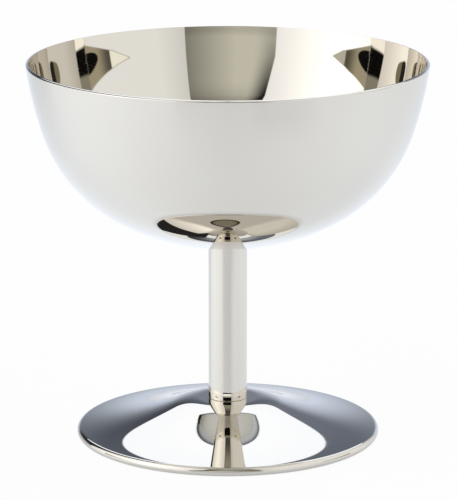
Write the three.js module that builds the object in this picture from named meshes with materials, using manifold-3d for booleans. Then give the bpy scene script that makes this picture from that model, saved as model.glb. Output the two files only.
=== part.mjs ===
// Dessert coupe: a spun bowl on a tube stem and a domed foot, clamped by one stud and nut.
// Millimetres, +Z up. The origin is the centre of the ring that the foot stands on.

import * as THREE from 'three';
import { mergeVertices } from 'three/addons/utils/BufferGeometryUtils.js';
import Module from 'manifold-3d';

const { degToRad } = THREE.MathUtils;

// Bowl: a sheet shell of three tangent arcs. A lean is measured from upright.
const RIM_DIAMETER = 100;
const BOWL_WALL = 0.8;
const RIM_LEAN = degToRad(7.6);
const SIDE_RADIUS = 92;
const SIDE_END_LEAN = degToRad(18.7);
const SHOULDER_RADIUS = 38.4;
const SHOULDER_END_LEAN = degToRad(61.7);
const LAND_MARGIN = 0.2;

// Stem: the tube's length between the foot and the bowl, and its wall
const STEM_LENGTH = 40.2;
const STEM_WALL = 0.95;
const STEM_EDGE_BREAK = 0.2;

// Foot: a sheet shell with a round crown, a hollow brim and a hem turned under. A slope is from level.
const FOOT_DIAMETER = 76.3;
const FOOT_SHEET = 0.8;
const CROWN_RADIUS = 17;
const CROWN_SLOPE = degToRad(22.8);
const BRIM_SLOPE = degToRad(5);
const HEM_THICKNESS = 2.3;
const HEM_RETURN = 2.4;
const SEAT_MARGIN = 2.2;
const COLLAR_HEIGHT = 2.4;
const COLLAR_FILLET = 0.2;

// Fixing: a weld stud under the bowl, a washer and a hex nut under the crown
const STUD_DIAMETER = 5;
const STUD_FLANGE_THICKNESS = 1.2;
const STUD_END = 1.5;
const STUD_CHAMFER = 0.6;
const WASHER_DIAMETER = 10;
const WASHER_THICKNESS = 1;
const NUT_ACROSS_FLATS = 8;
const NUT_THICKNESS = 4;
const NUT_CHAMFER_SLOPE = degToRad(30);

// Radial clearance between pieces that fit inside each other
const CLEARANCE = 0.3;

// Faces around the axis, and steps along each kind of bend
const TURN_FACES = 48;
const WIDE_BEND_STEPS = 8;
const SMALL_BEND_STEPS = 6;

// Headings of a profile, turning down from outwards
const OUTWARDS = 0;
const DOWNWARDS = Math.PI / 2;
const INWARDS = Math.PI;

// Radii that fit one piece to the next, from the stud out to the tube
const studRadius = STUD_DIAMETER / 2;
const studHoleRadius = studRadius + CLEARANCE;
const collarRadius = studHoleRadius + FOOT_SHEET;
const stemBoreRadius = collarRadius + CLEARANCE;
const stemRadius = stemBoreRadius + STEM_WALL;
const studFlangeRadius = stemBoreRadius - CLEARANCE;
const landRadius = stemRadius + LAND_MARGIN;
const washerRadius = WASHER_DIAMETER / 2;
const seatRadius = Math.max(stemRadius, washerRadius) + SEAT_MARGIN;

// The foot's profile: the brim's arc is the one that joins the crown to the hem smoothly
const hemRadius = HEM_THICKNESS / 2;
const hemCentreRadius = FOOT_DIAMETER / 2 - hemRadius;
const crownEndRadius = seatRadius + CROWN_RADIUS * Math.sin(CROWN_SLOPE);
const brimEndRadius = hemCentreRadius + hemRadius * Math.sin(BRIM_SLOPE);
const brimRadius = (brimEndRadius - crownEndRadius) / (Math.sin(CROWN_SLOPE) - Math.sin(BRIM_SLOPE));
const crownDrop = CROWN_RADIUS * (1 - Math.cos(CROWN_SLOPE));
const brimDrop = brimRadius * (Math.cos(BRIM_SLOPE) - Math.cos(CROWN_SLOPE));
const hemDrop = hemRadius * (1 + Math.cos(BRIM_SLOPE));

// Heights of the faces that the pieces meet on
const seatHeight = crownDrop + brimDrop + hemDrop;
const landHeight = seatHeight + STEM_LENGTH;
const washerTop = seatHeight - FOOT_SHEET;
const nutTop = washerTop - WASHER_THICKNESS;
const nutBottom = nutTop - NUT_THICKNESS;
const studTip = nutBottom - STUD_END;

// Draws the outer face of a sheet as tangent lines and arcs in the plane of radius and height.
// A heading is measured down from outwards, and the outer face is on the left of the way drawn.
class SheetPen {
  constructor(radius, height, heading) {
    this.place = new THREE.Vector2(radius, height);
    this.heading = heading;
    this.stations = [];
    this.mark();
  }

  normal() {
    return new THREE.Vector2(Math.sin(this.heading), Math.cos(this.heading));
  }

  mark() {
    this.stations.push({ place: this.place.clone(), normal: this.normal() });
  }

  run(length) {
    const way = new THREE.Vector2(Math.cos(this.heading), -Math.sin(this.heading));
    this.place.addScaledVector(way, length);
    this.mark();
    return this;
  }

  bend(radius, toHeading, steps) {
    const fromHeading = this.heading;
    const side = Math.sign(toHeading - fromHeading);
    const centre = this.place.clone().addScaledVector(this.normal(), -side * radius);
    for (let step = 1; step <= steps; step += 1) {
      this.heading = fromHeading + (toHeading - fromHeading) * (step / steps);
      this.place = centre.clone().addScaledVector(this.normal(), side * radius);
      this.mark();
    }
    return this;
  }
}

// The two faces of a sheet whose outer face was drawn
const outerFace = (stations) => stations.map(({ place }) => place.clone());
const innerFace = (stations, wall) => (
  stations.map(({ place, normal }) => place.clone().addScaledVector(normal, -wall))
);

// The half-round end of a sheet, from its inner face round to its outer face
function roundedEdge({ place, normal }, wall, steps) {
  const centre = place.clone().addScaledVector(normal, -wall / 2);
  const outOfEdge = new THREE.Vector2(-normal.y, normal.x);
  const points = [];
  for (let step = 1; step < steps; step += 1) {
    const angle = Math.PI * (1 - step / steps);
    const point = centre.clone();
    point.addScaledVector(normal, (wall / 2) * Math.cos(angle));
    point.addScaledVector(outOfEdge, (wall / 2) * Math.sin(angle));
    points.push(point);
  }
  return points;
}

// Merges shared corners and drops the faces that shrink to nothing on the axis
function welded(geometry) {
  geometry.deleteAttribute('normal');
  geometry.deleteAttribute('uv');
  const merged = mergeVertices(geometry, 1e-5);
  const corners = merged.index.array;
  const kept = [];
  for (let face = 0; face < corners.length; face += 3) {
    const [a, b, c] = corners.slice(face, face + 3);
    if (a !== b && b !== c && c !== a) {
      kept.push(a, b, c);
    }
  }
  merged.setIndex(kept);
  return merged;
}

// A solid of revolution about Z from a closed outline of radius and height, drawn anticlockwise
function revolved(outline) {
  const geometry = new THREE.LatheGeometry(outline, TURN_FACES);
  geometry.rotateX(Math.PI / 2);
  return welded(geometry);
}

const closed = (outline) => [...outline, outline[0].clone()];
const corner = (radius, height) => new THREE.Vector2(radius, height);

// Bowl: the shell from rim to base, with a flat land under it for the stem
function bowlGeometry() {
  const pen = new SheetPen(RIM_DIAMETER / 2, 0, DOWNWARDS + RIM_LEAN);
  pen.bend(SIDE_RADIUS, DOWNWARDS + SIDE_END_LEAN, SMALL_BEND_STEPS);
  pen.bend(SHOULDER_RADIUS, DOWNWARDS + SHOULDER_END_LEAN, WIDE_BEND_STEPS);
  const baseRadius = pen.place.x / Math.cos(SHOULDER_END_LEAN);
  pen.bend(baseRadius, INWARDS - Math.asin(landRadius / baseRadius), SMALL_BEND_STEPS);
  const outside = outerFace(pen.stations);
  const landDepth = pen.place.y;
  pen.bend(baseRadius, INWARDS, 2);
  const inside = innerFace(pen.stations, BOWL_WALL);
  inside.at(-1).x = 0;
  const rim = roundedEdge(pen.stations[0], BOWL_WALL, SMALL_BEND_STEPS);
  const outline = [corner(0, landDepth), ...outside.reverse(), ...rim.reverse(), ...inside];
  const geometry = revolved(outline);
  geometry.translate(0, 0, landHeight - landDepth);
  return geometry;
}

// Stem: a tube whose outer edges are broken, so that a fine seam shows at both ends
function stemGeometry() {
  const neckRadius = stemRadius - STEM_EDGE_BREAK;
  return revolved(closed([
    corner(stemBoreRadius, seatHeight),
    corner(neckRadius, seatHeight),
    corner(stemRadius, seatHeight + STEM_EDGE_BREAK),
    corner(stemRadius, landHeight - STEM_EDGE_BREAK),
    corner(neckRadius, landHeight),
    corner(stemBoreRadius, landHeight),
  ]));
}

// Foot: a drawn collar in the tube's bore, the seat, the crown, the brim and the hem
function footGeometry() {
  const pen = new SheetPen(collarRadius, seatHeight + COLLAR_HEIGHT, DOWNWARDS);
  pen.run(COLLAR_HEIGHT - COLLAR_FILLET);
  pen.bend(COLLAR_FILLET, OUTWARDS, 3);
  pen.run(seatRadius - pen.place.x);
  pen.bend(CROWN_RADIUS, CROWN_SLOPE, SMALL_BEND_STEPS);
  pen.bend(brimRadius, BRIM_SLOPE, WIDE_BEND_STEPS);
  pen.bend(hemRadius, INWARDS, WIDE_BEND_STEPS);
  pen.run(HEM_RETURN);
  const outside = outerFace(pen.stations);
  const inside = innerFace(pen.stations, FOOT_SHEET);
  return revolved(closed([...outside.reverse(), ...inside]));
}

// Weld stud: a flange under the bowl's land and a shank down to below the nut
function studGeometry() {
  const flangeBottom = landHeight - STUD_FLANGE_THICKNESS;
  return revolved([
    corner(0, studTip),
    corner(studRadius - STUD_CHAMFER, studTip),
    corner(studRadius, studTip + STUD_CHAMFER),
    corner(studRadius, flangeBottom),
    corner(studFlangeRadius, flangeBottom),
    corner(studFlangeRadius, landHeight),
    corner(0, landHeight),
  ]);
}

function washerGeometry() {
  return revolved(closed([
    corner(studHoleRadius, nutTop),
    corner(washerRadius, nutTop),
    corner(washerRadius, washerTop),
    corner(studHoleRadius, washerTop),
  ]));
}

const wasm = await Module();
wasm.setup();

// A closed mesh as a solid that can be joined and cut
function solidOf(geometry) {
  const vertProperties = new Float32Array(geometry.attributes.position.array);
  const triVerts = new Uint32Array(geometry.index.array);
  return new wasm.Manifold(new wasm.Mesh({ numProp: 3, vertProperties, triVerts }));
}

function geometryOf(solid) {
  const mesh = solid.getMesh();
  const geometry = new THREE.BufferGeometry();
  geometry.setAttribute('position', new THREE.BufferAttribute(new Float32Array(mesh.vertProperties), 3));
  geometry.setIndex(Array.from(mesh.triVerts));
  return geometry;
}

// Nut: a hexagon whose corners are chamfered at both ends, with a hole for the stud
function nutGeometry() {
  const cornerRadius = NUT_ACROSS_FLATS / 2 / Math.cos(Math.PI / 6);
  const hexagon = new THREE.CylinderGeometry(cornerRadius, cornerRadius, NUT_THICKNESS, 6);
  hexagon.rotateX(Math.PI / 2);
  hexagon.translate(0, 0, (nutTop + nutBottom) / 2);
  const faceRadius = NUT_ACROSS_FLATS / 2;
  const reach = cornerRadius + CLEARANCE;
  const chamfer = (reach - faceRadius) * Math.tan(NUT_CHAMFER_SLOPE);
  const turning = revolved(closed([
    corner(studHoleRadius, nutBottom),
    corner(faceRadius, nutBottom),
    corner(reach, nutBottom + chamfer),
    corner(reach, nutTop - chamfer),
    corner(faceRadius, nutTop),
    corner(studHoleRadius, nutTop),
  ]));
  return geometryOf(solidOf(welded(hexagon)).intersect(solidOf(turning)));
}

const polishedSteel = { color: 0xd9d7d2, metalness: 1, roughness: 0.06 };
const turnedSteel = { color: 0xb9b8b4, metalness: 1, roughness: 0.35 };

const coupe = new THREE.Group();
coupe.name = 'dessert_coupe';

function addPiece(name, geometry, finish) {
  geometry.computeVertexNormals();
  const mesh = new THREE.Mesh(geometry, new THREE.MeshStandardMaterial(finish));
  mesh.name = name;
  coupe.add(mesh);
}

addPiece('bowl', bowlGeometry(), polishedSteel);
addPiece('stem_tube', stemGeometry(), polishedSteel);
addPiece('foot', footGeometry(), polishedSteel);
addPiece('weld_stud', studGeometry(), turnedSteel);
addPiece('foot_washer', washerGeometry(), turnedSteel);
addPiece('foot_nut', nutGeometry(), turnedSteel);

export default coupe;
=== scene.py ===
"""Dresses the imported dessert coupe: spun shells, a threaded fixing, polished steel and a light tent."""

import enum
import logging
import math
from collections.abc import Callable, Mapping, Sequence
from dataclasses import dataclass
from typing import Any

import bpy
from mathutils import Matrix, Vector


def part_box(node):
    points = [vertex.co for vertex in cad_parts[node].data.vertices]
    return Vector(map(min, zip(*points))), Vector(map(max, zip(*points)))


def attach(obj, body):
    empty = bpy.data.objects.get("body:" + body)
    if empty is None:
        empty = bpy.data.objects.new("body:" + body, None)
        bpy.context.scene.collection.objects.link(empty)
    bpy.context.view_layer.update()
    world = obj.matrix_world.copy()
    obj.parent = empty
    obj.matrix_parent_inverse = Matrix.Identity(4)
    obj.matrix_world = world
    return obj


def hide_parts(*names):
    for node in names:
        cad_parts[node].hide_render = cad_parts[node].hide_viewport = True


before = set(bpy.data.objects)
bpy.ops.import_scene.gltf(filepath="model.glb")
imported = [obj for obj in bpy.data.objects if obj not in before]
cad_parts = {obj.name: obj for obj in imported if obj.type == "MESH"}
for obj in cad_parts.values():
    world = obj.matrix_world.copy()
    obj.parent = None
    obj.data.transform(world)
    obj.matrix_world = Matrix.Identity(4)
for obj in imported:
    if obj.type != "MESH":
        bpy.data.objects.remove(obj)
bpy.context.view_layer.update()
log = logging.getLogger("coupe")

Colour = tuple[float, float, float]
Row = list[Vector]

MM = 0.001
FACES_ROUND = 192
TINY = 1e-7

# Ray depths above which a ray has met a second and a third mirror before it meets the table or the flag
SECOND_MIRROR = 1.5
THIRD_MIRROR = 2.5

# Headings of a profile, turning down from outwards
OUTWARDS = 0.0
DOWNWARDS = math.pi / 2
INWARDS = math.pi


class Zone(enum.IntEnum):
    """The finishes that one sheet piece can carry, in the order of its material slots."""

    POLISHED = 0
    SATIN = 1
    WORN = 2


class Slot(enum.Enum):
    """The record's material slots."""

    POLISHED = "polished_steel"
    TURNED = "turned_steel"


# Shader graphs


class Value:
    """A node's output that takes part in Python expressions: each operator adds one Math node."""

    def __init__(self, graph: "Graph", socket: bpy.types.NodeSocket) -> None:
        """Keeps the graph and the socket that the expression reads."""
        self.graph = graph
        self.socket = socket

    def math(self, operation: str, first: Any, second: Any = 0.0, third: Any = 0.0) -> "Value":
        """Adds one Math node.

        Args:
            operation: Blender's name of the operation.
            first: the first term, a value or a number.
            second: the second term, where the operation has one.
            third: the third term, where the operation has one.

        Returns:
            The node's result.
        """
        sockets = {0: first, 1: second, 2: third}
        return self.graph.node("ShaderNodeMath", {"operation": operation}, sockets)

    def __add__(self, other: Any) -> "Value":
        """Sum."""
        return self.math("ADD", self, other)

    def __radd__(self, other: Any) -> "Value":
        """Sum with a number on the left."""
        return self.math("ADD", other, self)

    def __sub__(self, other: Any) -> "Value":
        """Difference."""
        return self.math("SUBTRACT", self, other)

    def __rsub__(self, other: Any) -> "Value":
        """Difference with a number on the left."""
        return self.math("SUBTRACT", other, self)

    def __mul__(self, other: Any) -> "Value":
        """Product."""
        return self.math("MULTIPLY", self, other)

    def __rmul__(self, other: Any) -> "Value":
        """Product with a number on the left."""
        return self.math("MULTIPLY", other, self)

    def __truediv__(self, other: Any) -> "Value":
        """Quotient."""
        return self.math("DIVIDE", self, other)

    def __rtruediv__(self, other: Any) -> "Value":
        """Quotient with a number on the left."""
        return self.math("DIVIDE", other, self)

    def __gt__(self, other: Any) -> "Value":
        """One where the value is above the other, otherwise nought."""
        return self.math("GREATER_THAN", self, other)

    def __abs__(self) -> "Value":
        """Size without sign."""
        return self.math("ABSOLUTE", self)

    def squared(self) -> "Value":
        """The value times itself."""
        return self.math("MULTIPLY", self, self)

    def root(self) -> "Value":
        """The square root."""
        return self.math("SQRT", self)

    def at_least(self, floor: Any) -> "Value":
        """The larger of the value and a floor."""
        return self.math("MAXIMUM", self, floor)

    def at_most(self, ceiling: Any) -> "Value":
        """The smaller of the value and a ceiling."""
        return self.math("MINIMUM", self, ceiling)

    def wrapped(self, low: float, high: float) -> "Value":
        """The value brought into a range by whole turns."""
        return self.math("WRAP", self, high, low)

    def eased(self, start: float, end: float) -> "Value":
        """A smooth step.

        Args:
            start: the end of the stretch of noughts.
            end: the start of the stretch of ones.

        Returns:
            Nought before start, one after end, and a smooth rise between them.
        """
        settings = {"interpolation_type": "SMOOTHSTEP"}
        sockets = {"Value": self, "From Min": start, "From Max": end}
        return self.graph.node("ShaderNodeMapRange", settings, sockets)

    def share(self, start: float, end: float) -> "Value":
        """Nought before start, one after end, and a straight line between them."""
        sockets = {"Value": self, "From Min": start, "From Max": end}
        return self.graph.node("ShaderNodeMapRange", {"clamp": True}, sockets)


class Graph:
    """A node tree that is drawn through one method."""

    def __init__(self, tree: bpy.types.NodeTree) -> None:
        """Empties the tree.

        Args:
            tree: the tree of a material or a world.
        """
        tree.nodes.clear()
        self.tree = tree

    def node(
        self,
        kind: str,
        settings: Mapping[str, Any] | None = None,
        sockets: Mapping[Any, Any] | None = None,
        output: Any = 0,
    ) -> Value:
        """Adds any node.

        Args:
            kind: Blender's name of the node's type.
            settings: the node's own settings, which come first.
            sockets: values or links of its inputs, by name or place.
            output: the output to hand back, by name or place.

        Returns:
            The chosen output, ready for expressions.
        """
        made = self.tree.nodes.new(kind)
        for name, setting in (settings or {}).items():
            setattr(made, name, setting)
        for name, term in (sockets or {}).items():
            if isinstance(name, int) and name >= len(made.inputs):
                continue
            self._feed(made.inputs[name], term)
        return Value(self, made.outputs[output] if made.outputs else None)

    def _feed(self, socket: bpy.types.NodeSocket, term: Any) -> None:
        """Links a value to a socket, or sets a number or colour on it.

        Args:
            socket: the input to feed.
            term: a value, a number, or three numbers.
        """
        if isinstance(term, Value):
            self.tree.links.new(term.socket, socket)
        elif isinstance(term, (tuple, list)) and socket.type == "RGBA":
            socket.default_value = (*term, 1.0)
        else:
            socket.default_value = term

    def mix(self, share: Any, first: Any, second: Any) -> Value:
        """Blends two colours, from the first at nought to the second at one."""
        sockets = {0: share, 6: first, 7: second}
        return self.node("ShaderNodeMix", {"data_type": "RGBA"}, sockets, 2)

    def dimmed(self, colour: Any, share: Any) -> Value:
        """A colour times a number."""
        sockets = {0: colour, "Scale": share}
        return self.node("ShaderNodeVectorMath", {"operation": "SCALE"}, sockets)

    def blend(self, share: Any, first: Value, second: Value) -> Value:
        """Blends two shaders, from the first at nought to the second at one."""
        return self.node("ShaderNodeMixShader", None, {0: share, 1: first, 2: second})

    def light_path(self, output: str) -> Value:
        """What is known of the ray that arrives."""
        return self.node("ShaderNodeLightPath", None, None, output)

    def parts(self, vector: Value) -> tuple[Value, Value, Value]:
        """Takes a vector apart.

        Args:
            vector: the vector.

        Returns:
            Its three parts.
        """
        split = self.node("ShaderNodeSeparateXYZ", None, {0: vector}).socket.node
        x, y, z = (Value(self, socket) for socket in split.outputs)
        return x, y, z

    def polar(self, place: Value) -> tuple[Value, Value, Value, Value]:
        """The way from the axis as two parts, the distance from it, and the height.

        Args:
            place: a place in metres.

        Returns:
            The two parts, the distance and the height.
        """
        x, y, height = self.parts(place)
        radius = (x * x + y * y).root().at_least(TINY)
        return x / radius, y / radius, radius, height

    def vector(self, x: Any, y: Any, z: Any) -> Value:
        """A vector of three parts."""
        return self.node("ShaderNodeCombineXYZ", None, {0: x, 1: y, 2: z})

    def noise(self, place: Value, scale: float, detail: float = 2.0) -> Value:
        """Soft noise from nought to one."""
        sockets = {"Vector": place, "Scale": scale, "Detail": detail, "Roughness": 0.55}
        return self.node("ShaderNodeTexNoise", {"noise_dimensions": "3D"}, sockets, 0)


class SteelGraph(Graph):
    """The graph of a steel finish, with the coordinates that a turned piece needs."""

    def __init__(self, name: str) -> None:
        """Makes the material and its coordinates.

        Args:
            name: the material's name.
        """
        self.material = bpy.data.materials.new(name)
        self.material.use_nodes = True
        super().__init__(self.material.node_tree)
        self.place = self.node("ShaderNodeTexCoord", None, None, "Object")
        self.round_x, self.round_y, self.radius, self.height = self.polar(self.place)
        settings = {"attribute_name": "along_mm"}
        self.along = self.node("ShaderNodeAttribute", settings, None, "Fac")

    def lines(self, round_scale: float, pitch_scale: float, detail: float) -> Value:
        """Noise drawn out round the axis, as spinning and turning leave it.

        Args:
            round_scale: how fast it changes round the axis.
            pitch_scale: how fast it changes along the profile, per millimetre.
            detail: the octaves of the noise.

        Returns:
            The noise, from nought to one.
        """
        across = self.along * pitch_scale
        place = self.vector(self.round_x * round_scale, self.round_y * round_scale, across)
        return self.noise(place, 1.0, detail)

    def finish(self, colour: Any, roughness: Any, height: Value) -> bpy.types.Material:
        """Closes the graph with a metal surface.

        Args:
            colour: the base colour.
            roughness: the roughness.
            height: the relief, in metres.

        Returns:
            The material.
        """
        relief = {"Strength": 1.0, "Distance": 1.0, "Height": height}
        normal = self.node("ShaderNodeBump", None, relief, "Normal")
        surface = {"Base Color": colour, "Metallic": 1.0, "Roughness": roughness, "Normal": normal}
        shader = self.node("ShaderNodeBsdfPrincipled", None, surface, "BSDF")
        self.node("ShaderNodeOutputMaterial", None, {"Surface": shader})
        return self.material


# Finishes


@dataclass(frozen=True)
class MirrorSteel:
    """Mirror polished stainless sheet: faint spin lines, buffing waves and a breath of haze."""

    name: str = "mirror_polished_steel"
    tint: Colour = (0.745, 0.708, 0.637)
    pale_tint: Colour = (0.75, 0.722, 0.665)
    roughness: float = 0.02
    haze: float = 0.02
    wave_height: float = 1.6e-6
    line_height: float = 0.05e-6

    def make(self) -> bpy.types.Material:
        """Draws the finish.

        Returns:
            The material.
        """
        graph = SteelGraph(self.name)
        waves = graph.lines(1.6, 0.32, 1.0)
        lines = graph.lines(2.2, 7.0, 3.0)
        cloud = graph.noise(graph.place, 55.0, 4.0)
        wiped = graph.noise(graph.place, 210.0, 3.0)
        hazy = cloud.eased(0.5, 0.78)
        colour = graph.mix(hazy * 0.6 + wiped * 0.25, self.tint, self.pale_tint)
        roughness = self.roughness + hazy * self.haze + lines * 0.008
        height = waves * self.wave_height + lines * self.line_height
        return graph.finish(colour, roughness, height)


@dataclass(frozen=True)
class SatinSteel:
    """Stainless sheet as the spinning tool leaves it, on faces that nobody polishes."""

    name: str = "satin_spun_steel"
    tint: Colour = (0.62, 0.605, 0.575)
    dark_tint: Colour = (0.5, 0.487, 0.46)
    roughness: float = 0.26
    groove_height: float = 2.2e-6

    def make(self) -> bpy.types.Material:
        """Draws the finish.

        Returns:
            The material.
        """
        graph = SteelGraph(self.name)
        grooves = graph.lines(1.2, 3.2, 3.0)
        fine = graph.lines(4.0, 14.0, 2.0)
        blotch = graph.noise(graph.place, 120.0, 4.0)
        colour = graph.mix(grooves * 0.5 + blotch.eased(0.4, 0.75) * 0.5, self.tint, self.dark_tint)
        roughness = self.roughness + grooves * 0.12 + blotch * 0.06
        height = grooves * self.groove_height + fine * (0.35 * self.groove_height)
        return graph.finish(colour, roughness, height)


@dataclass(frozen=True)
class WornSteel:
    """The polished ring that stands on the table, scuffed by it in every direction."""

    name: str = "worn_ring_steel"
    tint: Colour = (0.7, 0.68, 0.64)
    scuff_tint: Colour = (0.55, 0.54, 0.52)
    roughness: float = 0.1
    scuff_depth: float = 1.5e-6

    def make(self) -> bpy.types.Material:
        """Draws the finish.

        Returns:
            The material.
        """
        graph = SteelGraph(self.name)
        stretched = graph.vector(graph.round_x * 40.0, graph.round_y * 40.0, graph.along * 5.0)
        settings = {"feature": "DISTANCE_TO_EDGE"}
        cells = graph.node("ShaderNodeTexVoronoi", settings, {"Vector": stretched, "Scale": 1.3})
        scuffs = 1.0 - cells.eased(0.0, 0.09)
        rubbed = graph.noise(graph.place, 900.0, 3.0).eased(0.42, 0.68)
        colour = graph.mix(scuffs * 0.5 + rubbed * 0.35, self.tint, self.scuff_tint)
        roughness = self.roughness + scuffs * 0.15 + rubbed * 0.18
        height = (1.0 - scuffs) * self.scuff_depth
        return graph.finish(colour, roughness, height)


@dataclass(frozen=True)
class TurnedSteel:
    """Bright turned stainless of stock fasteners: tool rings and small handling dents."""

    name: str = "bright_turned_steel"
    tint: Colour = (0.6, 0.59, 0.57)
    dark_tint: Colour = (0.4, 0.39, 0.37)
    roughness: float = 0.24
    ring_height: float = 3.0e-6

    def make(self) -> bpy.types.Material:
        """Draws the finish.

        Returns:
            The material.
        """
        graph = SteelGraph(self.name)
        across = graph.vector(0.0, 0.0, graph.radius * 9000.0 + graph.height * 4000.0)
        rings = graph.noise(across, 1.0, 2.0)
        dents = graph.noise(graph.place, 1500.0, 3.0)
        grime = graph.noise(graph.place, 420.0, 4.0).eased(0.5, 0.8)
        colour = graph.mix(grime * 0.7 + rings * 0.2, self.tint, self.dark_tint)
        roughness = self.roughness + rings * 0.1 + grime * 0.16
        height = rings * self.ring_height + dents * (0.6 * self.ring_height)
        return graph.finish(colour, roughness, height)


# Turned forms


@dataclass(frozen=True)
class Station:
    """A place on a turned profile, with the way that its surface faces, in metres."""

    radius: float
    height: float
    out: float
    up: float

    def sunk(self, depth: float) -> "Station":
        """The place straight behind this one on the other face of a sheet."""
        radius = self.radius - depth * self.out
        return Station(radius, self.height - depth * self.up, -self.out, -self.up)


@dataclass(frozen=True)
class Run:
    """A stretch of a profile that is smooth from end to end and has one finish.

    It is drawn with the outside of the piece on the left of the way.
    """

    stations: Sequence[Station]
    zone: Zone = Zone.POLISHED


def straight(start: tuple[float, float], end: tuple[float, float], zone: Zone = Zone.POLISHED) -> Run:
    """A straight stretch of a profile.

    Args:
        start: radius and height where it starts.
        end: radius and height where it ends.
        zone: its finish.

    Returns:
        The stretch, facing left of the way.
    """
    across, rise = end[0] - start[0], end[1] - start[1]
    length = math.hypot(across, rise)
    out, up = -rise / length, across / length
    return Run([Station(*start, out, up), Station(*end, out, up)], zone)


class SheetPen:
    """Draws the outer face of a sheet as tangent runs and bends, as a spinner's former has them.

    A heading is measured down from outwards, and the outer face is on the left of the way.
    """

    def __init__(self, radius: float, height: float, heading: float) -> None:
        """Starts the drawing.

        Args:
            radius: distance from the axis.
            height: height above the table.
            heading: the first way to go.
        """
        self.radius = radius
        self.height = height
        self.heading = heading
        self.stations: list[Station] = []
        self._mark()

    def _mark(self) -> None:
        """Keeps the present place."""
        out, up = math.sin(self.heading), math.cos(self.heading)
        self.stations.append(Station(self.radius, self.height, out, up))

    def run(self, length: float) -> "SheetPen":
        """Goes straight on.

        Args:
            length: how far.

        Returns:
            The pen.
        """
        self.radius += length * math.cos(self.heading)
        self.height -= length * math.sin(self.heading)
        self._mark()
        return self

    def bend(self, radius: float, to_heading: float, step: float) -> "SheetPen":
        """Turns along an arc.

        Args:
            radius: the arc's radius at the outer face.
            to_heading: the heading where it ends.
            step: the largest turn between two places.

        Returns:
            The pen.
        """
        start = self.heading
        side = math.copysign(1.0, to_heading - start)
        middle_radius = self.radius - side * radius * math.sin(start)
        middle_height = self.height - side * radius * math.cos(start)
        count = max(1, math.ceil(abs(to_heading - start) / step))
        for place in range(1, count + 1):
            self.heading = start + (to_heading - start) * place / count
            self.radius = middle_radius + side * radius * math.sin(self.heading)
            self.height = middle_height + side * radius * math.cos(self.heading)
            self._mark()
        return self


class Turning:
    """Turns a profile about the upright axis into a mesh that keeps the exact facing of its surface."""

    def __init__(self, name: str, runs: Sequence[Run], faces_round: int = FACES_ROUND) -> None:
        """Takes the profile.

        Args:
            name: the piece's name.
            runs: the profile's stretches in order, each starting where the last one ends.
            faces_round: the number of faces round the axis.
        """
        self.name = name
        self.runs = runs
        self.faces_round = faces_round
        turns = [2 * math.pi * place / faces_round for place in range(faces_round)]
        self.ways = [(math.cos(turn), math.sin(turn)) for turn in turns]
        self.corners: list[tuple[float, float, float]] = []
        self.along: list[float] = []
        self.rings: dict[tuple[int, int], list[int]] = {}

    def _ring(self, station: Station, travelled: float) -> list[int]:
        """The corners at a station, made on the first call for that place.

        Args:
            station: the place on the profile.
            travelled: the distance along the profile, in metres.

        Returns:
            The corners' numbers, or one number on the axis.
        """
        key = (round(station.radius / TINY), round(station.height / TINY))
        if key not in self.rings:
            first = len(self.corners)
            ways = self.ways if station.radius > 2 * TINY else [(0.0, 0.0)]
            for x, y in ways:
                self.corners.append((station.radius * x, station.radius * y, station.height))
                self.along.append(travelled / MM)
            self.rings[key] = list(range(first, len(self.corners)))
        return self.rings[key]

    def _facing(self, station: Station, place: int) -> tuple[float, float, float]:
        """The way that the surface faces at a station, at one place round the axis."""
        x, y = self.ways[place % self.faces_round]
        return station.out * x, station.out * y, station.up

    def build(self) -> bpy.types.Object:
        """Makes the piece.

        Returns:
            The object, its faces numbered by zone for the material slots still to come.
        """
        faces: list[list[int]] = []
        facing: list[tuple[float, float, float]] = []
        zones: list[int] = []
        travelled = 0.0
        for run in self.runs:
            for first, second in zip(run.stations, run.stations[1:]):
                upper = self._ring(first, travelled)
                travelled += math.hypot(second.radius - first.radius, second.height - first.height)
                lower = self._ring(second, travelled)
                for place in range(self.faces_round):
                    round_trip = [(upper, first, place), (lower, second, place)]
                    if len(lower) > 1:
                        round_trip.append((lower, second, place + 1))
                    if len(upper) > 1:
                        round_trip.append((upper, first, place + 1))
                    faces.append([ring[at % len(ring)] for ring, _, at in round_trip])
                    facing.extend(self._facing(station, at) for _, station, at in round_trip)
                    zones.append(int(run.zone))
        mesh = bpy.data.meshes.new(self.name)
        mesh.from_pydata(self.corners, [], faces)
        mesh.polygons.foreach_set("material_index", zones)
        mesh.polygons.foreach_set("use_smooth", [True] * len(faces))
        mesh.attributes.new("along_mm", "FLOAT", "POINT").data.foreach_set("value", self.along)
        mesh.normals_split_custom_set(facing)
        return placed(mesh)


def placed(mesh: bpy.types.Mesh) -> bpy.types.Object:
    """Puts a mesh in the scene under its own name.

    Args:
        mesh: the mesh.

    Returns:
        The object that shows it.
    """
    made = bpy.data.objects.new(mesh.name, mesh)
    bpy.context.scene.collection.objects.link(made)
    return made


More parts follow.
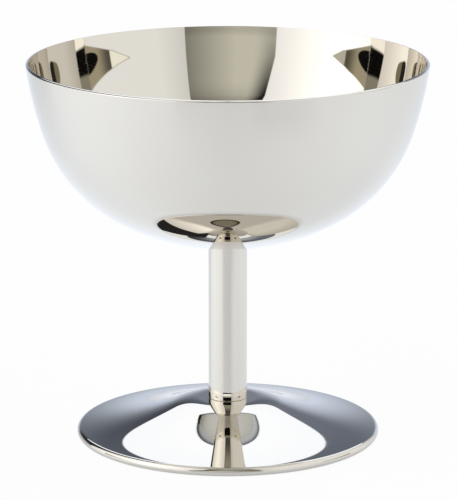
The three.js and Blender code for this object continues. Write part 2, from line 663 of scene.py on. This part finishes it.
def skinned(name: str, rows: Sequence[Row], poles: tuple[Vector, Vector] | None) -> bpy.types.Object:
    """Skins rows of places round the axis, for forms that a profile alone can't give.

    Args:
        name: the piece's name.
        rows: rows of equally many places, in order with the outside on the left of the way.
        poles: the places on the axis that close the ends, or None where the last row joins the first.

    Returns:
        The object, smooth but for its sharp edges.
    """
    count = len(rows[0])
    corners = [place for row in rows for place in row]
    faces: list[tuple[int, ...]] = []
    pairs = list(range(len(rows) - 1)) + ([] if poles else [len(rows) - 1])
    for row in pairs:
        here, there = row * count, ((row + 1) % len(rows)) * count
        for place in range(count):
            after = (place + 1) % count
            faces.append((here + place, there + place, there + after, here + after))
    if poles:
        start, end, last = len(corners), len(corners) + 1, (len(rows) - 1) * count
        corners.extend(poles)
        for place in range(count):
            after = (place + 1) % count
            faces.append((start, place, after))
            faces.append((last + place, end, last + after))
    mesh = bpy.data.meshes.new(name)
    mesh.from_pydata(corners, [], faces)
    mesh.polygons.foreach_set("use_smooth", [True] * len(faces))
    mesh.set_sharp_from_angle(angle=math.radians(25))
    return placed(mesh)


def ring_row(radius: Callable[[float], float], height: Callable[[float], float], count: int) -> Row:
    """A row of places round the axis.

    Args:
        radius: the radius at a turn, in radians.
        height: the height at a turn.
        count: the number of places.

    Returns:
        The places.
    """
    turns = [2 * math.pi * place / count for place in range(count)]
    return [Vector((radius(t) * math.cos(t), radius(t) * math.sin(t), height(t))) for t in turns]


def round_row(radius: float, height: float, count: int) -> Row:
    """A level, circular row of places round the axis."""
    return ring_row(lambda _: radius, lambda _: height, count)


@dataclass(frozen=True)
class ScrewThread:
    """A single right-hand V thread with blunt crests."""

    crest: float
    root: float
    pitch: float = 0.8 * MM
    blunt: float = 0.12

    def radius(self, turn: float, height: float) -> float:
        """The thread's radius at a turn and a height.

        Args:
            turn: the angle round the axis.
            height: the height on the axis.

        Returns:
            The radius.
        """
        phase = (height / self.pitch - turn / (2 * math.pi)) % 1.0
        flank = (abs(2.0 * phase - 1.0) - self.blunt) / (1.0 - 2.0 * self.blunt)
        return self.root + (self.crest - self.root) * min(1.0, max(0.0, flank))


def dress(piece: bpy.types.Object, node: str, finishes: Sequence[Any]) -> bpy.types.Object:
    """Gives a piece its finishes and puts it in the place of its CAD node.

    Args:
        piece: the piece.
        node: the CAD node that it stands for.
        finishes: its finishes, in the order of its zones.

    Returns:
        The piece.
    """
    for finish in finishes:
        ready = bpy.data.materials.get(finish.name)
        piece.data.materials.append(ready or finish.make())
    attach(piece, "root")
    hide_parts(node)
    log.info("%s: %d faces, stands for %s", piece.name, len(piece.data.polygons), node)
    return piece


# Sub-assemblies


@dataclass(frozen=True)
class Bowl:
    """The spun bowl: a sheet shell of three tangent arcs. A lean is measured from upright."""

    wall: float = 0.8 * MM
    rim_lean: float = math.radians(7.6)
    side_radius: float = 92 * MM
    side_end_lean: float = math.radians(18.7)
    shoulder_radius: float = 38.4 * MM
    shoulder_end_lean: float = math.radians(61.7)
    land_radius: float = 5.05 * MM
    rim_crest: float = 0.37 * MM
    rim_corner: float = 0.05 * MM
    step: float = math.radians(1.4)

    def build(self) -> bpy.types.Object:
        """Turns the shell, inside and out.

        Returns:
            The shell.
        """
        low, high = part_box("bowl")
        pen = SheetPen(high.x, 0.0, DOWNWARDS + self.rim_lean)
        pen.bend(self.side_radius, DOWNWARDS + self.side_end_lean, self.step)
        pen.bend(self.shoulder_radius, DOWNWARDS + self.shoulder_end_lean, self.step)
        base_radius = pen.radius / math.cos(self.shoulder_end_lean)
        pen.bend(base_radius, INWARDS - math.asin(self.land_radius / base_radius), self.step)
        rise = low.z - pen.height
        outside = [Station(s.radius, s.height + rise, s.out, s.up) for s in pen.stations]
        pen.bend(base_radius, INWARDS, self.step)
        inside = [
            Station(s.radius, s.height + rise, s.out, s.up).sunk(self.wall) for s in pen.stations
        ]
        inside[-1] = Station(0.0, inside[-1].height, 0.0, 1.0)
        edge = outside[-1]
        runs = [
            Run(inside[::-1]),
            Run([inside[0], *self._rim(outside[0]), outside[0]]),
            Run(outside),
            straight((edge.radius, edge.height), (0.0, edge.height), Zone.SATIN),
        ]
        return Turning("bowl_shell", runs).build()

    def _rim(self, start: Station) -> list[Station]:
        """The edge of the sheet: a tight corner inside and a long round outside.

        Args:
            start: the first place of the outer face.

        Returns:
            The places between the two faces, from the inner one over the top.
        """
        corner, crest, span = self.rim_corner, self.rim_crest, self.wall - self.rim_corner
        steps = [(-self.wall, crest - corner, -1.0, 0.0)]
        for place in range(1, 7):
            turn = math.pi * (1.0 - place / 12)
            facing, rising = math.cos(turn), math.sin(turn)
            steps.append((corner * facing - span, crest - corner + corner * rising, facing, rising))
        for place in range(1, 12):
            turn = math.pi / 2 * (1.0 - place / 12)
            facing, rising = math.cos(turn), math.sin(turn)
            size = math.hypot(facing / span, rising / crest)
            facing_out, facing_up = facing / span / size, rising / crest / size
            steps.append((span * (facing - 1.0), crest * rising, facing_out, facing_up))
        places = []
        for aside, along, facing, rising in steps:
            radius = start.radius + aside * start.out - along * start.up
            height = start.height + aside * start.up + along * start.out
            out, up = facing * start.out - rising * start.up, facing * start.up + rising * start.out
            places.append(Station(radius, height, out, up))
        return places

    def dress(self) -> list[bpy.types.Object]:
        """Builds and finishes the bowl."""
        finishes = [MirrorSteel(), SatinSteel()]
        return [dress(self.build(), "bowl", finishes)]


@dataclass(frozen=True)
class Stem:
    """The tube between the foot and the bowl, with its outer edges rounded off."""

    wall: float = 0.95 * MM
    edge: float = 0.2 * MM
    step: float = math.radians(15)

    def build(self) -> bpy.types.Object:
        """Turns the tube.

        Returns:
            The tube.
        """
        low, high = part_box("stem_tube")
        outer, bore = high.x, high.x - self.wall
        pen = SheetPen(outer - self.edge, high.z, OUTWARDS)
        pen.bend(self.edge, DOWNWARDS, self.step)
        pen.run(high.z - low.z - 2 * self.edge)
        pen.bend(self.edge, INWARDS, self.step)
        runs = [
            straight((bore, high.z), (outer - self.edge, high.z), Zone.SATIN),
            Run(pen.stations),
            straight((outer - self.edge, low.z), (bore, low.z), Zone.SATIN),
            straight((bore, low.z), (bore, high.z), Zone.SATIN),
        ]
        return Turning("stem_sleeve", runs).build()

    def dress(self) -> list[bpy.types.Object]:
        """Builds and finishes the stem."""
        finishes = [MirrorSteel(), SatinSteel()]
        return [dress(self.build(), "stem_tube", finishes)]


@dataclass(frozen=True)
class Foot:
    """The spun foot: collar, seat, round crown, hollow brim and a hem turned under."""

    sheet: float = 0.8 * MM
    collar_radius: float = 3.6 * MM
    collar_fillet: float = 0.2 * MM
    seat_radius: float = 7.2 * MM
    crown_radius: float = 17 * MM
    crown_slope: float = math.radians(22.8)
    brim_slope: float = math.radians(5.0)
    hem_thickness: float = 2.3 * MM
    hem_return: float = 2.4 * MM
    step: float = math.radians(1.1)
    hem_step: float = math.radians(7)

    def build(self) -> bpy.types.Object:
        """Turns the shell, with its underside and its hem.

        Returns:
            The shell.
        """
        low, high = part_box("foot")
        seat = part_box("stem_tube")[0].z
        hem = self.hem_thickness / 2
        crown_end = self.seat_radius + self.crown_radius * math.sin(self.crown_slope)
        brim_end = high.x - hem + hem * math.sin(self.brim_slope)
        spread = math.sin(self.crown_slope) - math.sin(self.brim_slope)
        pen = SheetPen(self.collar_radius, high.z, DOWNWARDS)
        pen.run(high.z - seat - self.collar_fillet)
        pen.bend(self.collar_fillet, OUTWARDS, self.hem_step)
        pen.run(self.seat_radius - pen.radius)
        pen.bend(self.crown_radius, self.crown_slope, self.step)
        pen.bend((brim_end - crown_end) / spread, self.brim_slope, self.step)
        pen.bend(hem, INWARDS, self.hem_step)
        shown = len(pen.stations)
        pen.run(self.hem_return)
        outside = pen.stations
        inside = [station.sunk(self.sheet) for station in reversed(outside)]
        tip, back = outside[-1], inside[0]
        top, collar = inside[-1], outside[0]
        runs = [
            Run(outside[:shown]),
            Run(outside[shown - 1:], Zone.WORN),
            straight((tip.radius, tip.height), (back.radius, back.height), Zone.SATIN),
            Run(inside, Zone.SATIN),
            straight((top.radius, top.height), (collar.radius, collar.height), Zone.SATIN),
        ]
        return Turning("foot_shell", runs).build()

    def dress(self) -> list[bpy.types.Object]:
        """Builds and finishes the foot."""
        finishes = [MirrorSteel(), SatinSteel(), WornSteel()]
        return [dress(self.build(), "foot", finishes)]


@dataclass(frozen=True)
class Fixing:
    """The stud under the bowl, and the washer and nut that pull the stem and foot against it."""

    stud_radius: float = 2.5 * MM
    stud_chamfer: float = 0.6 * MM
    flange_thickness: float = 1.2 * MM
    thread_depth: float = 0.42 * MM
    thread_length: float = 9.6 * MM
    washer_bore: float = 2.8 * MM
    washer_edge: float = 0.14 * MM
    nut_bore: float = 2.56 * MM
    nut_thread_depth: float = 0.26 * MM
    nut_chamfer_slope: float = math.radians(30)
    rows_per_pitch: int = 10
    places_round: int = 72

    def stud(self) -> bpy.types.Object:
        """Builds the stud with its real thread.

        Returns:
            The stud.
        """
        low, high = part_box("weld_stud")
        count, tip = self.places_round, low.z
        thread = ScrewThread(self.stud_radius, self.stud_radius - self.thread_depth)
        flange_bottom = high.z - self.flange_thickness
        thread_top = tip + self.thread_length
        rows = [
            round_row(high.x, high.z, count),
            round_row(high.x, flange_bottom, count),
            round_row(self.stud_radius, flange_bottom, count),
            round_row(self.stud_radius, thread_top + thread.pitch, count),
        ]
        steps = round(self.thread_length / thread.pitch * self.rows_per_pitch)
        for step in range(steps + 1):
            height = thread_top - self.thread_length * step / steps
            limit = self.stud_radius - self.stud_chamfer + height - tip
            rows.append(ring_row(
                lambda turn: min(limit, thread.radius(turn, height)), lambda _: height, count,
            ))
        poles = Vector((0, 0, high.z)), Vector((0, 0, tip))
        return skinned("stud_thread", rows, poles)

    def washer(self) -> bpy.types.Object:
        """Builds the washer with the rolled edge that punching leaves.

        Returns:
            The washer.
        """
        low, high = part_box("foot_washer")
        outer, bore, edge = high.x, self.washer_bore, self.washer_edge
        step = math.radians(15)
        pen = SheetPen(outer - edge, high.z, OUTWARDS)
        pen.bend(edge, DOWNWARDS, step)
        pen.run(high.z - low.z - 2 * edge)
        pen.bend(edge, INWARDS, step)
        runs = [
            straight((bore, high.z), (outer - edge, high.z)),
            Run(pen.stations),
            straight((outer - edge, low.z), (bore, low.z)),
            straight((bore, low.z), (bore, high.z)),
        ]
        return Turning("washer_ring", runs, 96).build()

    def nut(self) -> bpy.types.Object:
        """Builds the hexagon nut with chamfered corners, countersinks and an inner thread.

        Returns:
            The nut.
        """
        low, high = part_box("foot_nut")
        face = high.x if high.x < high.y else high.y
        count, slope = 96, math.tan(self.nut_chamfer_slope)
        thread = ScrewThread(self.nut_bore + self.nut_thread_depth, self.nut_bore)
        sink = thread.crest + 0.1 * MM

        def flat(turn: float) -> float:
            """The distance to the hexagon's side at a turn."""
            return face / math.cos((turn + math.pi / 6) % (math.pi / 3) - math.pi / 6)

        def cut(turn: float) -> float:
            """How far the chamfer cuts down the side at a turn."""
            return (flat(turn) - face) * slope

        inset = face - 0.02 * MM
        rows = [
            round_row(sink, high.z, count),
            round_row(inset, high.z, count),
            ring_row(flat, lambda turn: high.z - cut(turn) - 0.02 * MM, count),
            ring_row(flat, lambda turn: low.z + cut(turn) + 0.02 * MM, count),
            round_row(inset, low.z, count),
            round_row(sink, low.z, count),
        ]
        length = high.z - low.z
        steps = round(length / thread.pitch * self.rows_per_pitch)
        for step in range(1, steps):
            height = low.z + length * step / steps
            open_to = sink - min(height - low.z, high.z - height)
            rows.append(ring_row(
                lambda turn: max(open_to, thread.radius(turn, height)), lambda _: height, count,
            ))
        return skinned("nut_hex", rows, None)

    def dress(self) -> list[bpy.types.Object]:
        """Builds and finishes the three pieces.

        Returns:
            The stud, the washer and the nut.
        """
        finishes = [TurnedSteel()]
        return [
            dress(self.stud(), "weld_stud", finishes),
            dress(self.washer(), "foot_washer", finishes),
            dress(self.nut(), "foot_nut", finishes),
        ]


# Stage


@dataclass(frozen=True)
class Sky:
    """A direction of the tent, in parts and in degrees, with one where the steel mirrors it again."""

    x: Value
    y: Value
    azimuth: Value
    elevation: Value
    repeated: Value


class Fade(enum.Enum):
    """The edges from which a panel's light grows."""

    SIDES = "sides"
    BASE = "base"


@dataclass(frozen=True)
class Panel:
    """A lit cloth panel of the tent, in degrees round from the camera to the right, and up."""

    middle: float
    half_width: float
    bottom: float
    top: float
    light: Colour
    edge_light: Colour
    fade: Fade = Fade.SIDES
    fade_width: float = 20.0
    soft: float = 1.0

    def paint(self, graph: Graph, colour: Any, sky: Sky) -> Value:
        """Hangs the panel in front of what is there.

        Args:
            graph: the world's graph.
            colour: the tent so far.
            sky: the direction.

        Returns:
            The tent with the panel.
        """
        aside = self.half_width - abs((sky.azimuth - self.middle).wrapped(-180.0, 180.0))
        above = sky.elevation - self.bottom
        mask = aside.eased(0.0, self.soft) * above.eased(0.0, self.soft)
        mask = mask * (self.top - sky.elevation).eased(0.0, self.soft)
        inward = aside if self.fade is Fade.SIDES else above
        light = graph.mix(inward.share(0.0, self.fade_width), self.edge_light, self.light)
        return graph.mix(mask, colour, light)


@dataclass(frozen=True)
class PaperSweep:
    """The paper that curves up behind the table and darkens under the back panel."""

    middle: float = 177.0
    half_width: float = 27.5
    skew: float = 3.0
    top: float = 27.0
    top_fall: float = 0.1
    fade: tuple[float, float] = (-0.5, 22.5)
    foot_light: Colour = (0.79, 0.89, 1.07)
    top_light: Colour = (0.14, 0.16, 0.21)
    least_level: float = 0.45

    def paint(self, graph: Graph, colour: Any, sky: Sky) -> Value:
        """Hangs the paper in front of what is there.

        Args:
            graph: the world's graph.
            colour: the tent so far.
            sky: the direction.

        Returns:
            The tent with the sweep.
        """
        aside = (sky.azimuth - self.middle).wrapped(-180.0, 180.0)
        across = aside - self.skew
        top = self.top - across * self.top_fall
        mask = (self.half_width - abs(aside)).eased(0.0, 1.0) * (top - sky.elevation).eased(0.0, 0.4)
        height = sky.elevation - across.at_least(-10.0).at_most(10.0) * 0.08
        shade = graph.mix(height.eased(*self.fade), self.foot_light, self.top_light)
        # The paper is darker to the right, and more so higher up
        upper = sky.elevation.share(5.0, 14.0)
        level = 0.87 + upper * 0.07 - across * (0.007 + upper * 0.02)
        return graph.mix(mask, colour, graph.dimmed(shade, level.at_least(self.least_level)))


@dataclass(frozen=True)
class SideGaps:
    """The gap that opens on either side between the table and the panels' lower edges."""

    pale_left: Colour = (0.56, 0.54, 0.46)
    pale_right: Colour = (1.07, 1.06, 0.93)
    dark: Colour = (0.11, 0.1, 0.075)
    brown: Colour = (0.42, 0.37, 0.26)
    hem: Colour = (0.42, 0.39, 0.3)
    black: Colour = (0.006, 0.0055, 0.005)
    dark_start: float = 75.2
    brown_start: float = 76.8
    brown_width: float = 9.7
    end: float = 106.0
    core_middle: float = 97.0
    core_half_width: float = 12.6
    core_half_height: float = 2.5
    far_pale: Colour = (0.3, 0.27, 0.2)
    far_dark: Colour = (0.03, 0.027, 0.025)

    def paint(self, graph: Graph, colour: Any, sky: Sky) -> Value:
        """Opens the gaps in what is there.

        Args:
            graph: the world's graph.
            colour: the tent so far.
            sky: the direction.

        Returns:
            The tent with the gaps.
        """
        first, again = self._first(graph, colour, sky), self._again(graph, colour, sky)
        return graph.mix(sky.repeated, first, again)

    def _first(self, graph: Graph, colour: Any, sky: Sky) -> Value:
        """The gaps as one mirror shows them: a pale end, then brown with a hem and a black core.

        Args:
            graph: the world's graph.
            colour: the tent so far.
            sky: the direction.

        Returns:
            The tent with these gaps.
        """
        side, elevation = abs(sky.azimuth), sky.elevation
        right = sky.azimuth > 0.0
        lower = 5.45 - (side - 75.0) * 0.21 + (73.0 - side).at_least(0.0) * (0.15 - right * 0.05)
        upper = 10.3 + right * 0.4 + (side - 80.0).at_least(0.0) * 0.045
        upper = upper - (80.0 - side).at_least(0.0) * (0.11 - right * 0.068)
        gap = (upper - elevation).eased(0.0, 0.6) * (elevation - lower).eased(0.0, 0.6)
        gap = gap * (self.end - side).eased(0.0, 4.0)
        pale = graph.mix(right, self.pale_left, self.pale_right)
        shade = graph.mix((side - self.brown_start).eased(0.0, self.brown_width), self.dark, self.brown)
        shade = graph.mix((side - self.dark_start).eased(0.0, 0.8), pale, shade)
        aside = (side - self.core_middle) / self.core_half_width
        above = (elevation - (5.3 + right * 0.5)) / self.core_half_height
        core = 1.0 - aside.squared() - above.squared()
        shade = graph.mix(core.eased(0.0, 0.15), shade, self.black)
        shade = graph.mix(gap.eased(0.4, 1.0), self.hem, shade)
        return graph.mix(gap.eased(0.0, 0.5), colour, shade)

    def _again(self, graph: Graph, colour: Any, sky: Sky) -> Value:
        """The gaps as repeated mirroring shows them: small, round and dark.

        Args:
            graph: the world's graph.
            colour: the tent so far.
            sky: the direction.

        Returns:
            The tent with these gaps.
        """
        side, elevation = abs(sky.azimuth), sky.elevation
        above = elevation - 7.8 - (75.0 - side) * 0.18
        gap = above.eased(-1.0, 2.5) * (15.0 - elevation).eased(-1.0, 2.5)
        gap = gap * (side - 58.5).eased(-2.0, 6.0) * (80.0 - side).eased(-2.0, 6.0)
        inside = graph.mix((side - 68.5).eased(0.0, 2.0), self.far_pale, self.far_dark)
        return graph.mix(gap.eased(0.12, 0.3), colour, inside)


@dataclass(frozen=True)
class FrontSlit:
    """The slit that the camera looks through, with a grey card that the first reflection meets."""

    left: float = -29.6
    right: float = 26.0
    far_right: float = 21.7
    top: float = 64.0
    card: Colour = (1.07, 1.055, 0.92)
    white: Colour = (1.6, 1.6, 1.6)
    black: Colour = (0.007, 0.0065, 0.006)
    wall: Colour = (0.37, 0.365, 0.32)
    wall_top: Colour = (0.09, 0.09, 0.08)

    def paint(self, graph: Graph, colour: Any, sky: Sky) -> Value:
        """Cuts the slit into what is there.

        Args:
            graph: the world's graph.
            colour: the tent so far.
            sky: the direction.

        Returns:
            The tent with the slit.
        """
        azimuth, elevation = sky.azimuth, sky.elevation
        left = azimuth - self.left - (elevation - 13.0).at_least(0.0) * 0.33
        right = self.right - sky.repeated * (self.right - self.far_right)
        slit = left.eased(0.0, 0.8) * (right - azimuth).eased(0.0, 0.8)
        slit = slit * (self.top - elevation).eased(0.0, 4.0)
        # The card dims to the right, at its top and bottom, and along its left edge
        level = 0.64 - (azimuth + 5.0).at_least(0.0) * 0.0125
        level = level * (1.0 - 0.4 * elevation.eased(21.0, 31.0))
        level = level * (0.8 + 0.2 * elevation.eased(5.5, 8.0))
        dim = (0.33 + (elevation - 8.0) * 0.04).at_least(0.0) * (1.0 - left.eased(0.0, 14.0))
        card = graph.dimmed(self.card, level * (1.0 - dim.at_most(0.96)))
        wall = graph.mix(elevation.eased(30.0, 48.0), self.wall, self.wall_top)
        behind = graph.mix(elevation.eased(11.8, 12.7), self.white, self.black)
        behind = graph.mix(elevation.eased(17.9, 18.8), behind, wall)
        return graph.mix(slit, colour, graph.mix(sky.repeated, card, behind))


@dataclass(frozen=True)
class Hood:
    """The grey oval over the camera, with a dark border, in parts of a direction of length one."""

    middle: tuple[float, float] = (-0.04, -0.298)
    half_width: float = 0.25
    half_depth: float = 0.078
    bow: float = 0.9
    grey: Colour = (0.3, 0.28, 0.23)
    border: Colour = (0.05, 0.045, 0.035)

    def paint(self, graph: Graph, colour: Any, sky: Sky) -> Value:
        """Hangs the hood in front of what is there.

        Args:
            graph: the world's graph.
            colour: the tent so far.
            sky: the direction.

        Returns:
            The tent with the hood.
        """
        aside = (sky.x - self.middle[0]) / self.half_width
        along = (sky.y - self.middle[1] - sky.x * sky.x * self.bow) / self.half_depth
        oval = 1.0 - aside.squared() - along.squared()
        grey = graph.mix(oval.eased(0.2, 0.6), self.border, self.grey)
        return graph.mix(oval.eased(0.0, 0.15), colour, grey)


@dataclass(frozen=True)
class LightTent:
    """The studio as the steel sees it: cloth panels, the slits between them and the dark behind."""

    dark: Colour = (0.03, 0.03, 0.032)
    backdrop: Colour = (1.0, 1.0, 1.0)
    # The ray depth that the world reads is one above the number of mirrors met
    first_depth: float = 2.5
    # Low on the left behind, the left wall, the right wall, the back wall and the ceiling
    panels: tuple[Panel, ...] = (
        Panel(-141.0, 18.0, -90.0, 9.0, (0.55, 0.55, 0.55), (0.45, 0.45, 0.45), soft=4.0),
        Panel(-73.0, 53.0, -90.0, 66.0, (1.62, 1.63, 1.65), (1.0, 1.0, 1.02), fade_width=48.0),
        Panel(83.0, 68.0, -90.0, 66.0, (0.99, 1.0, 1.005), (0.69, 0.69, 0.68), fade_width=28.0),
        Panel(177.0, 27.5, 23.0, 62.0, (1.3, 1.365, 1.51), (1.22, 1.285, 1.43), Fade.BASE, soft=0.5),
        Panel(0.0, 180.5, 58.0, 91.0, (0.76, 0.76, 0.765), (0.76, 0.76, 0.765), soft=6.0),
    )

    def build(self) -> None:
        """Paints the world."""
        world = bpy.data.worlds.new("light_tent")
        world.use_nodes = True
        bpy.context.scene.world = world
        graph = Graph(world.node_tree)
        x, y, z = graph.parts(graph.node("ShaderNodeTexCoord", None, None, "Generated"))
        azimuth = x.math("ARCTAN2", x, 0.0 - y) * math.degrees(1.0)
        elevation = z.math("ARCSINE", z) * math.degrees(1.0)
        sky = Sky(x, y, azimuth, elevation, graph.light_path("Ray Depth") > self.first_depth)
        colour: Any = self.dark
        for hung in (*self.panels, PaperSweep(), SideGaps(), FrontSlit(), Hood()):
            colour = hung.paint(graph, colour, sky)
        seen = graph.mix(graph.light_path("Is Camera Ray"), colour, self.backdrop)
        light = graph.node("ShaderNodeBackground", None, {"Color": seen, "Strength": 1.0})
        graph.node("ShaderNodeOutputWorld", None, {"Surface": light})


@dataclass(frozen=True)
class Table:
    """The pale table top, round and wide enough to fill every view."""

    radius: float = 4.0
    corners: int = 96
    white: Colour = (0.95, 0.955, 0.96)
    front_glow: Colour = (0.97, 1.01, 1.08)
    back_glow: Colour = (0.93, 1.0, 1.11)
    lift: float = 0.94
    mirrored_lift: float = 0.8
    gloss: float = 0.4
    gloss_index: float = 1.45
    level: float = 1.06
    back_gain: float = 0.13
    right_loss: float = 0.055

    def build(self) -> bpy.types.Object:
        """Lays the table.

        Returns:
            The table top.
        """
        edge = round_row(self.radius, 0.0, self.corners)
        mesh = bpy.data.meshes.new("table_top")
        mesh.from_pydata(edge, [], [tuple(range(self.corners))])
        made = placed(mesh)
        made.data.materials.append(self._finish())
        return made

    def _glow(self, graph: Graph) -> Value:
        """The board's painted light as the steel mirrors it: painted shade before the slit, painted light
        beside the panels.

        Args:
            graph: the material's graph.

        Returns:
            The colour.
        """
        place = graph.node("ShaderNodeTexCoord", None, None, "Object")
        across, behind, radius, _ = graph.polar(place)
        before = 0.0 - behind
        depth = graph.light_path("Ray Depth")
        level = self.level + behind * self.back_gain - across * self.right_loss
        # Painted shade in front on the right, and less painted light for repeated mirroring in front and
        # behind
        painted_front_shade = (1.0 - ((across - 0.5) / 0.3).squared()).at_least(0.0)
        level = level - painted_front_shade * before.share(0.0, 0.4) * radius.share(140 * MM, 200 * MM) * 0.1
        level = level * (1.0 - 0.5 * (depth > THIRD_MIRROR) * before.share(0.8, 0.95))
        level = level * (1.0 - 0.13 * (depth > SECOND_MIRROR) * behind.share(0.0, 0.6))
        # Painted light away from the foot at the sides, painted shade behind, and a painted contact
        # shadow under the foot's edge
        level = level + abs(across) * radius.share(45 * MM, 160 * MM) * 0.08
        level = level - behind.at_least(0.0) * radius.share(50 * MM, 300 * MM) * 0.12
        level = level * (0.75 + 0.25 * radius.eased(37.5 * MM, 43 * MM))
        # Painted shade at the sides towards the back, a little deeper on the right
        beside = behind.share(-0.25, 0.35) * abs(across).share(0.15, 0.5)
        level = level * (1.0 - beside * (0.055 + across * 0.015))
        colour = graph.mix(behind.share(-1.0, 1.0), self.front_glow, self.back_glow)
        return graph.dimmed(colour, level)

    def _finish(self) -> bpy.types.Material:
        """White gloss board, brighter to the camera and the steel than it is lit, and clear from below.

        Returns:
            The material.
        """
        material = bpy.data.materials.new("white_table")
        material.use_nodes = True
        graph = Graph(material.node_tree)
        matt = graph.node("ShaderNodeBsdfDiffuse", None, {"Color": self.white}, "BSDF")
        white = graph.node("ShaderNodeEmission", None, {"Color": (1.0, 1.0, 1.0), "Strength": 1.0})
        glow = graph.node("ShaderNodeEmission", None, {"Color": self._glow(graph), "Strength": 1.0})
        lit = graph.blend(graph.light_path("Is Glossy Ray") * self.mirrored_lift, matt, glow)
        surface = {"Color": (1.0, 1.0, 1.0), "Roughness": self.gloss}
        gloss = graph.node("ShaderNodeBsdfGlossy", None, surface, "BSDF")
        skin = graph.node("ShaderNodeFresnel", None, {"IOR": self.gloss_index})
        board = graph.blend(skin, lit, gloss)
        top = graph.blend(graph.light_path("Is Camera Ray"), board, graph.blend(self.lift, matt, white))
        clear = graph.node("ShaderNodeBsdfTransparent", None, None, "BSDF")
        below = graph.node("ShaderNodeNewGeometry", None, None, "Backfacing")
        graph.node("ShaderNodeOutputMaterial", None, {"Surface": graph.blend(below, top, clear)})
        return material


@dataclass(frozen=True)
class FrontFlag:
    """The black card beside the lens, outside the view, that repeated reflections end in."""

    distance: float = 0.3
    bottom: float = 0.02
    top: float = 0.125
    left_turn: float = math.radians(-29)
    right_turn: float = math.radians(21.5)
    black: Colour = (0.01, 0.01, 0.01)

    def build(self) -> bpy.types.Object:
        """Hangs the card.

        Returns:
            The flag, which only mirrors see.
        """
        left, right = math.tan(self.left_turn), math.tan(self.right_turn)
        turns = [(left, self.bottom), (right, self.bottom), (right, self.top), (left, self.top)]
        corners = [(turn * self.distance, -self.distance, rise) for turn, rise in turns]
        mesh = bpy.data.meshes.new("front_flag")
        mesh.from_pydata(corners, [], [(0, 1, 2, 3)])
        made = placed(mesh)
        made.visible_camera = made.visible_diffuse = made.visible_shadow = False
        material = bpy.data.materials.new("black_flag")
        material.use_nodes = True
        graph = Graph(material.node_tree)
        clear = graph.node("ShaderNodeBsdfTransparent", None, None, "BSDF")
        black = graph.node("ShaderNodeBsdfDiffuse", None, {"Color": self.black}, "BSDF")
        either = graph.blend(graph.light_path("Ray Depth") > SECOND_MIRROR, clear, black)
        graph.node("ShaderNodeOutputMaterial", None, {"Surface": either})
        made.data.materials.append(material)
        return made


@dataclass(frozen=True)
class PhotoCamera:
    """The camera at the photograph's place, fitted to the rim, the foot and the bowl's outline."""

    distance: float = 0.841
    height: float = 0.2554
    pitch: float = 0.2424
    focal_pixels: float = 3456.3
    axis_pixel: tuple[float, float] = (227.8, 250.5)
    frame_pixels: tuple[int, int] = (457, 500)
    sensor: float = 36.0

    def build(self) -> bpy.types.Object:
        """Sets the camera up.

        Returns:
            The camera.
        """
        wide, high = self.frame_pixels
        data = bpy.data.cameras.new("photo_camera")
        data.sensor_width = self.sensor
        data.lens = self.focal_pixels / max(wide, high) * self.sensor
        data.shift_x = (wide / 2 - self.axis_pixel[0]) / max(wide, high)
        data.shift_y = (self.axis_pixel[1] - high / 2) / max(wide, high)
        data.clip_start, data.clip_end = 0.01, 50.0
        made = bpy.data.objects.new("photo_camera", data)
        made.location = (0.0, -self.distance, self.height)
        made.rotation_euler = (math.pi / 2 - self.pitch, 0.0, 0.0)
        bpy.context.scene.collection.objects.link(made)
        bpy.context.scene.camera = made
        return made


def main() -> None:
    """Builds the stage and the coupe, and reports each piece."""
    logging.basicConfig(level=logging.INFO, format="%(name)s: %(message)s")
    bpy.context.scene.view_settings.view_transform = "Standard"
    # The polished rim mirrors itself more often than the default depth follows
    bpy.context.scene.cycles.glossy_bounces = 12
    PhotoCamera().build()
    LightTent().build()
    Table().build()
    FrontFlag().build()
    pieces = [*Foot().dress(), *Stem().dress(), *Bowl().dress(), *Fixing().dress()]


if __name__ == "__main__":
    main()
